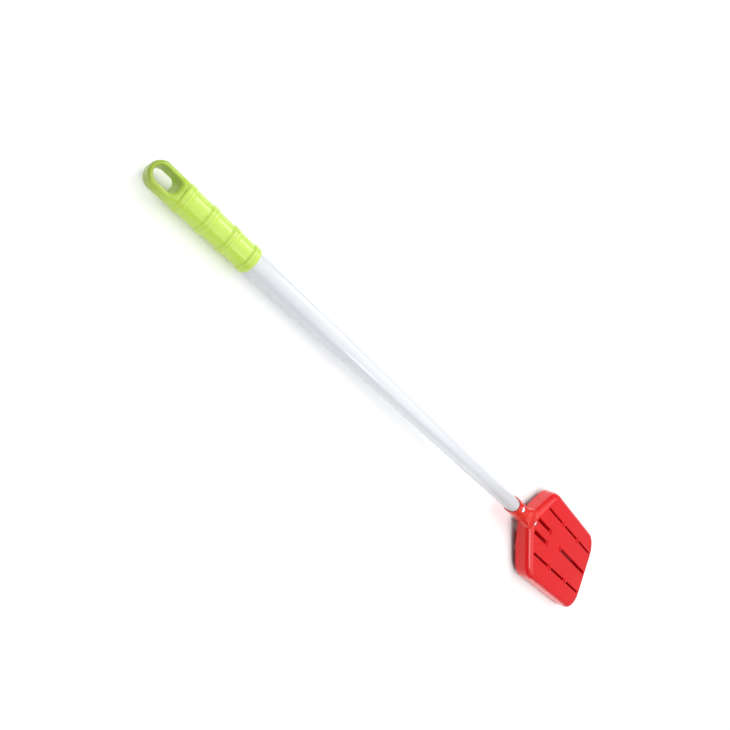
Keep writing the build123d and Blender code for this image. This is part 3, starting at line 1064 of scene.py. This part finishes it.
# ---------------------------------------------------------------- grip
@dataclass
class SleeveGrip:
    """The sleeve grip: a barrel that dips between its rings, sunk panels, and a flat hanging eye."""

    lay: Lay
    finish: MouldedGloss
    radius: float = 8.2
    hollow: float = 0.12
    bore_radius: float = 6.95
    bore_end: float = -46.2
    barrel_end: float = -47.6
    first_ring: float = -17.7
    last_ring: float = -47.22
    ring_count: int = 3
    ring_proud: float = 0.48
    lip_centre: float = -2.8
    lip_proud: float = 0.65
    bead_spacing: float = 1.6
    bead_radius: float = 1.1
    bead_stretch: float = 1.7
    bead_sides: int = 96
    bead_steps: int = 28
    panel_length: float = 9.2
    panel_width: float = 8.6
    panel_depth: float = 0.25
    panel_corner: float = 0.8
    eye_end: float = -68.3
    eye_thickness: float = 9.0
    eye_neck: float = 8.0
    eye_round: float = 1.7
    strand: float = 2.4
    hole_back: float = 10.5
    hole_front: float = 14.0
    hole_width: float = 9.4
    hole_round: float = 1.3
    hole_body_round: float = 3.0
    mouth_round: float = 0.3
    panel_round: float = 0.15
    lap: float = 0.5
    margin: float = 1.2
    cell: float = 0.4
    quick_cell: float = 0.8

    @property
    def pitch(self) -> float:
        """From one ring to the next, along the tube."""
        return (self.last_ring - self.first_ring) / (self.ring_count - 1)

    def stops(self) -> list[float]:
        """The lip and each ring."""
        return [self.lip_centre] + [self.first_ring + self.pitch * i for i in range(self.ring_count)]

    def solid(self, points: Array) -> Array:
        """The sleeve's distance field in the shaft frame, without its beads.

        Args:
            points: Places in the shaft frame.

        Returns:
            The distance, negative inside.
        """
        x, y, z = points.T
        out = np.hypot(y, z)
        stops = self.stops()
        dip = np.zeros(len(x))
        panel = np.full(len(x), np.inf)
        for ahead, behind in zip(stops, stops[1:]):
            middle, half = (ahead + behind) / 2, (ahead - behind) / 2
            dip = np.maximum(dip, self.hollow * (1 - ((x - middle) / half)**2))
            window = oblong(x - middle, y, self.panel_length / 2, self.panel_width / 2, self.panel_corner)
            panel = np.minimum(panel, window)
        floor = self.radius - self.hollow - self.panel_depth
        panel = np.maximum(panel, floor - out)
        ends = np.maximum(x, self.barrel_end - self.lap - x)
        barrel = round_cut(corner(out - self.radius + dip, ends, self.mouth_round), panel, self.panel_round)
        rise = np.clip((x - self.barrel_end + self.eye_neck) / self.eye_neck, 0.0, 1.0)
        flat = self.eye_thickness / 2
        half = flat + (self.radius - flat) * rise * rise * (3 - 2 * rise)
        centre = self.eye_end + self.radius
        plan = np.hypot(np.minimum(x - centre, 0.0), y) - self.radius
        eye = corner(np.maximum(plan, out - self.radius), (np.abs(z) - half) * 0.9, self.eye_round)
        eye = np.maximum(eye, x - self.barrel_end - self.lap)
        body = np.minimum(barrel, eye)
        slope = (self.hole_front - self.hole_back) / (2 * self.radius)
        length = self.hole_back + slope * (z + self.radius)
        start = self.eye_end + self.strand
        half_length = length / 2
        dx = x - start - half_length
        end_round = np.where(dx < 0, self.hole_width / 2 - 0.05, self.hole_body_round)
        hole = oblong(dx, y, half_length, self.hole_width / 2, end_round)
        body = round_cut(body, hole, self.hole_round)
        bore = np.maximum(out - self.bore_radius, self.bore_end - x)
        return np.maximum(body, -bore)

    def beads(self, name: str, stops: Sequence[float], proud: float,
              material: bpy.types.Material) -> bpy.types.Object:
        """A pair of low broad beads at each stop.

        Args:
            name: The piece's name.
            stops: Where each pair is centred.
            proud: How far the crests stand above the barrel.
            material: The finish.

        Returns:
            The beads as one piece.
        """
        sizes = {"Crest": self.radius + proud, "Bead": self.bead_radius, "Spacing": self.bead_spacing,
                 "Stretch": self.bead_stretch, "Sides": self.bead_sides, "Steps": self.bead_steps}
        recipe = Recipe(name, sizes, material)
        graph = recipe.graph
        ring = recipe.circle("Sides", recipe["Crest"] - recipe["Bead"])
        section = recipe.circle("Steps", recipe["Bead"])
        stretch = graph.joined(1.0, recipe["Stretch"], 1.0)
        low_section = graph.add("GeometryNodeTransform", None, {"Geometry": section, "Scale": stretch})
        bead = graph.add("GeometryNodeCurveToMesh", None, {0: ring, "Profile Curve": low_section})
        upright = {"Geometry": bead, "Rotation": (0.0, math.pi / 2, 0.0)}
        bead = graph.add("GeometryNodeTransform", None, upright)
        start = graph.joined(recipe["Spacing"] * -0.5, 0.0, 0.0)
        step = graph.joined(recipe["Spacing"], 0.0, 0.0)
        two = graph.add("GeometryNodeMeshLine", None, {"Count": 2, "Start Location": start, "Offset": step})
        pair = graph.add("GeometryNodeInstanceOnPoints", None, {"Points": two, "Instance": bead})
        recipe.spread(pair)
        return recipe.run(name, [(stop, 0, 0) for stop in stops], self.lay.shaft)

    def build(self) -> list[bpy.types.Object]:
        """Makes the sleeve, its rings and the lip at its mouth.

        Returns:
            The three pieces.
        """
        material = self.finish.build()
        side = self.radius + self.margin
        low, high = (self.eye_end - self.margin, -side, -side), (self.margin, side, side)
        cell = self.cell
        sleeve = sculpted("grip_sleeve", self.solid, low, high, cell, self.lay.shaft)
        sleeve.data.materials.append(material)
        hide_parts("grip")
        stops = self.stops()
        rings = self.beads("grip_rings", stops[1:], self.ring_proud, material)
        lip = self.beads("grip_mouth_lip", stops[:1], self.lip_proud, material)
        return [sleeve, rings, lip]


# ---------------------------------------------------------------- studio
@dataclass(frozen=True)
class Softbox:
    """A square soft white light: where it hangs, what it points at, its side in metres and its watts."""

    name: str
    place: tuple[float, float, float]
    target: tuple[float, float, float]
    size: float
    power: float

    def hang(self) -> None:
        """Adds the light to the scene."""
        data = bpy.data.lights.new(self.name, "AREA")
        data.size, data.energy = self.size, self.power
        light = bpy.data.objects.new(self.name, data)
        aim = Vector(self.target) - Vector(self.place)
        turn = aim.to_track_quat("-Z", "Y").to_matrix().to_4x4()
        light.matrix_world = Matrix.Translation(self.place) @ turn
        bpy.context.scene.collection.objects.link(light)


@dataclass
class Studio:
    """Pale paper, soft lights and the camera."""

    eye: Vector = field(default_factory=lambda: Vector((-0.3723, -0.1110, 0.2587)))
    right: Vector = field(default_factory=lambda: Vector((0.5683, 0.4446, 0.6924)))
    up: Vector = field(default_factory=lambda: Vector((-0.5443, 0.8341, -0.0889)))
    lens: float = 24.66
    paper_size: float = 8.0
    paper_colour: Colour = (0.97, 0.97, 0.97, 1.0)
    sky: float = 0.22
    lights: tuple[Softbox, ...] = (
        Softbox("overhead", (0.8, 0.3, 3.5), (0.8, 0.3, 0.0), 9.0, 328.0),
        Softbox("key", (0.05, 1.15, 0.95), (0.0, 0.0, 0.02), 0.7, 9.0),
        Softbox("strip", (0.39, -0.93, 1.18), (0.24, 0.0, 0.0), 0.4, 4.0))

    def camera(self) -> None:
        """Sets the scene's camera."""
        data = bpy.data.cameras.new("camera")
        data.sensor_width, data.lens = 36.0, self.lens
        data.clip_start, data.clip_end = 0.01, 60.0
        camera = bpy.data.objects.new("camera", data)
        right, up = self.right.normalized(), self.up.normalized()
        turn = Matrix((right, up, right.cross(up))).transposed()
        camera.matrix_world = Matrix.Translation(self.eye) @ turn.to_4x4()
        bpy.context.scene.collection.objects.link(camera)
        bpy.context.scene.camera = camera

    def paper(self) -> None:
        """Lays the pale floor under the swatter."""
        half = self.paper_size / 2
        mesh = bpy.data.meshes.new("paper")
        corners = [(-half, -half, 0), (half, -half, 0), (half, half, 0), (-half, half, 0)]
        mesh.from_pydata(corners, [], [(0, 1, 2, 3)])
        mesh.materials.append(StudioPaper("paper", self.paper_colour).build())
        floor = bpy.data.objects.new("paper", mesh)
        bpy.context.scene.collection.objects.link(floor)

    def build(self) -> None:
        """Sets up everything that isn't the object."""
        self.paper()
        world = bpy.data.worlds.new("studio")
        bpy.context.scene.world = world
        world.use_nodes = True
        world.node_tree.nodes.clear()
        graph = Graph(world.node_tree)
        sky = graph.add("ShaderNodeBackground", None, {"Color": (1.0, 1.0, 1.0, 1.0), "Strength": self.sky})
        graph.add("ShaderNodeOutputWorld", None, {0: sky})
        for light in self.lights:
            light.hang()
        self.camera()
        bpy.context.scene.view_settings.view_transform = "Standard"


def dress_plugs(lay: Lay) -> None:
    """Gives the two plugs, which keep their CAD shape, their finish.

    Args:
        lay: How the frames lie.
    """
    material = PlugPlastic("natural_plug_plastic", (0.62, 0.62, 0.6, 1.0), lay.shaft).build()
    for name in ("socket_plug", "grip_plug"):
        node = frame["nodes"][name]
        node.data.materials.clear()
        node.data.materials.append(material)


def main() -> None:
    """Builds the swatter and its studio, and reports each piece."""
    logging.basicConfig(level=logging.INFO, format="%(name)s: %(message)s")
    lay = Lay()
    # painted shade darkens the head's collar and neck to a deeper, more orange red
    red = MouldedGloss("red_moulded_plastic", (0.69, 0.004, 0.008, 1.0), lay.head,
                       deep=(0.61, 0.002, 0.005, 1.0), painted_shade=(0.64, 0.018, 0.006, 1.0),
                       painted_shade_from=-0.02, painted_shade_to=0.05, roughness=0.2, coat=0.08, scored=(0.051, 0.083))
    # painted shade darkens the grip's hanging eye
    lime = MouldedGloss("lime_moulded_plastic", (0.49, 0.68, 0.1, 1.0), lay.shaft,
                        deep=(0.43, 0.62, 0.05, 1.0), painted_shade=(0.24, 0.34, 0.03, 1.0),
                        painted_shade_from=-0.07, painted_shade_to=-0.045, roughness=0.26, coat=0.2, subsurface=0.12)
    white = TubeEnamel("white_tube_enamel", (0.66, 0.69, 0.715, 1.0), lay.shaft)
    metal = RivetMetal("rivet_aluminium", (0.82, 0.82, 0.84, 1.0), lay.shaft)
    groups = {Slot.HEAD: HeadMoulding(lay, red).build(), Slot.RIVET: Rivets(lay, metal).build(),
              Slot.TUBE: ShaftTube(lay, white).build(), Slot.GRIP: SleeveGrip(lay, lime).build()}
    for slot, pieces in groups.items():
        for piece in pieces:
            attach(piece, BODY)
            triangles = sum(len(p.vertices) - 2 for p in piece.data.polygons)
            log.info("%s: %d triangles, finish slot %s", piece.name, triangles, slot.value)
    dress_plugs(lay)
    Studio().build()


if __name__ == "__main__":
    main()
